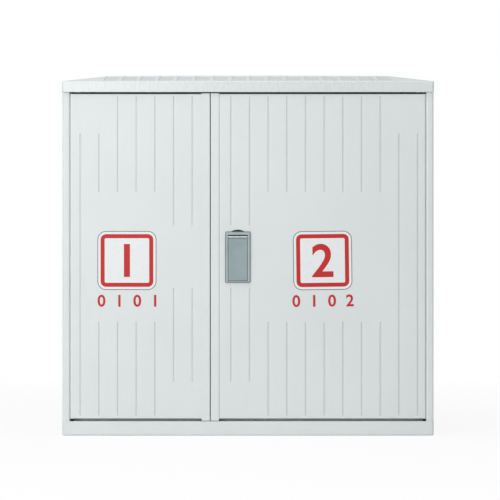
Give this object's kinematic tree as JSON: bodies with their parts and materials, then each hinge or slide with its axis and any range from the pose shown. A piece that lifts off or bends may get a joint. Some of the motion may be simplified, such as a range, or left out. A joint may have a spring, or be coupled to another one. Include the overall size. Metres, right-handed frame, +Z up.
{
  "type": "roadside utility cabinet",
  "caption": "Low free-standing power distribution cabinet: grooved moulded walls, hipped ribbed roof, unequal twin doors, flip-cover lock with rack-driven rods, switchgear inside.",
  "frame": {"origin": "centre of the base on the ground, midway between the sides and between front and back", "axes": "+Z up; the doors face -Y; +X is to the right of someone facing the doors"},
  "size_m": [0.96, 0.38, 0.945],
  "materials": {
    "smc_grey": "moulded sheet compound, satin, light grey",
    "lock_metal": "zinc alloy with a grey satin paint",
    "cover_plastic": "blue-grey moulded plastic, satin",
    "galvanised": "galvanised sheet steel",
    "steel": "zinc plated steel",
    "copper": "bare copper, dull",
    "rubber": "black rubber",
    "dark_plastic": "black moulded plastic",
    "breaker_plastic": "dark grey moulded breaker case",
    "insulator_red": "brick red insulating compound",
    "nylon": "natural nylon"
  },
  "bodies": {
    "cabinet": {"base_frame": "smc_grey", "left_side_panel": "smc_grey", "right_side_panel": "smc_grey", "back_panel": "smc_grey", "roof_cover": "smc_grey", "front_header": "smc_grey", "centre_post": "smc_grey", "left_vents": "smc_grey", "right_vents": "smc_grey", "panel_bolts": "steel", "roof_screws": "steel", "left_door_seal": "rubber", "right_door_seal": "rubber", "hinge_pins": "steel", "base_stops": "smc_grey", "gland_plate": "galvanised", "cable_grommets": "rubber", "mounting_plate": "galvanised", "plate_standoffs": "steel", "plate_bolts": "steel", "busbar_supports": "insulator_red", "phase_bar_1": "copper", "phase_bar_2": "copper", "phase_bar_3": "copper", "phase_1_links": "copper", "phase_2_links": "copper", "phase_3_links": "copper", "neutral_bar": "copper", "neutral_insulators": "insulator_red", "earth_bar": "copper", "main_breaker": "breaker_plastic", "branch_breaker_1": "breaker_plastic", "branch_breaker_2": "breaker_plastic", "branch_breaker_3": "breaker_plastic", "branch_breaker_4": "breaker_plastic", "cable_rail": "galvanised", "cable_clamps": "galvanised"},
    "left_door": {"left_door": "smc_grey", "flush_bolt_guides": "dark_plastic"},
    "right_door": {"right_door": "smc_grey", "lock_frame": "lock_metal", "lock_cover_pin": "steel", "spindle_bush": "nylon", "gear_case": "lock_metal", "gear_case_cover": "galvanised", "gear_case_screws": "steel", "rod_guides": "dark_plastic"},
    "lock_cover": {"lock_cover": "cover_plastic"},
    "handle": {"lock_handle": "lock_metal", "pinion": "steel", "spindle_nut": "steel"},
    "upper_rod": {"upper_rack_rod": "galvanised"},
    "lower_rod": {"lower_rack_rod": "galvanised"},
    "upper_bolt": {"left_upper_bolt": "steel"},
    "lower_bolt": {"left_lower_bolt": "steel"},
    "main_toggle": {"main_toggle": "dark_plastic"},
    "toggle_1": {"branch_toggle_1": "dark_plastic"},
    "toggle_2": {"branch_toggle_2": "dark_plastic"},
    "toggle_3": {"branch_toggle_3": "dark_plastic"},
    "toggle_4": {"branch_toggle_4": "dark_plastic"}
  },
  "joints": [
    {"name": "left_door_hinge", "type": "hinge", "parent": "cabinet", "child": "left_door", "pos_m": [-0.4544, -0.179, 0.462], "axis": [0, 0, -1], "range_deg": [0, 105]},
    {"name": "right_door_hinge", "type": "hinge", "parent": "cabinet", "child": "right_door", "pos_m": [0.4544, -0.179, 0.462], "axis": [0, 0, 1], "range_deg": [0, 105]},
    {"name": "lock_cover_flip", "type": "hinge", "parent": "right_door", "child": "lock_cover", "pos_m": [-0.0263, -0.1853, 0.5128], "axis": [-1, 0, 0], "range_deg": [0, 100]},
    {"name": "handle_turn", "type": "hinge", "parent": "right_door", "child": "handle", "pos_m": [-0.0263, -0.16, 0.461], "axis": [0, 1, 0], "range_deg": [0, 90]},
    {"name": "upper_rod_slide", "type": "slide", "parent": "right_door", "child": "upper_rod", "axis": [0, 0, 1], "range_m": [0, 0.0165]},
    {"name": "lower_rod_slide", "type": "slide", "parent": "right_door", "child": "lower_rod", "axis": [0, 0, -1], "range_m": [0, 0.0165]},
    {"name": "upper_bolt_slide", "type": "slide", "parent": "left_door", "child": "upper_bolt", "axis": [0, 0, 1], "range_m": [0, 0.018]},
    {"name": "lower_bolt_slide", "type": "slide", "parent": "left_door", "child": "lower_bolt", "axis": [0, 0, -1], "range_m": [0, 0.018]},
    {"name": "main_toggle_throw", "type": "hinge", "parent": "cabinet", "child": "main_toggle", "pos_m": [-0.27, 0.05, 0.4365], "axis": [-1, 0, 0], "range_deg": [0, 40]},
    {"name": "toggle_1_throw", "type": "hinge", "parent": "cabinet", "child": "toggle_1", "pos_m": [-0.03, 0.05, 0.4825], "axis": [-1, 0, 0], "range_deg": [0, 40]},
    {"name": "toggle_2_throw", "type": "hinge", "parent": "cabinet", "child": "toggle_2", "pos_m": [0.08, 0.05, 0.4825], "axis": [-1, 0, 0], "range_deg": [0, 40]},
    {"name": "toggle_3_throw", "type": "hinge", "parent": "cabinet", "child": "toggle_3", "pos_m": [0.19, 0.05, 0.4825], "axis": [-1, 0, 0], "range_deg": [0, 40]},
    {"name": "toggle_4_throw", "type": "hinge", "parent": "cabinet", "child": "toggle_4", "pos_m": [0.3, 0.05, 0.4825], "axis": [-1, 0, 0], "range_deg": [0, 40]}
  ],
  "couplings": [
    {"joint": "upper_rod_slide", "follows": "handle_turn", "m_per_rad": 0.0105},
    {"joint": "lower_rod_slide", "follows": "handle_turn", "m_per_rad": 0.0105}
  ]
}
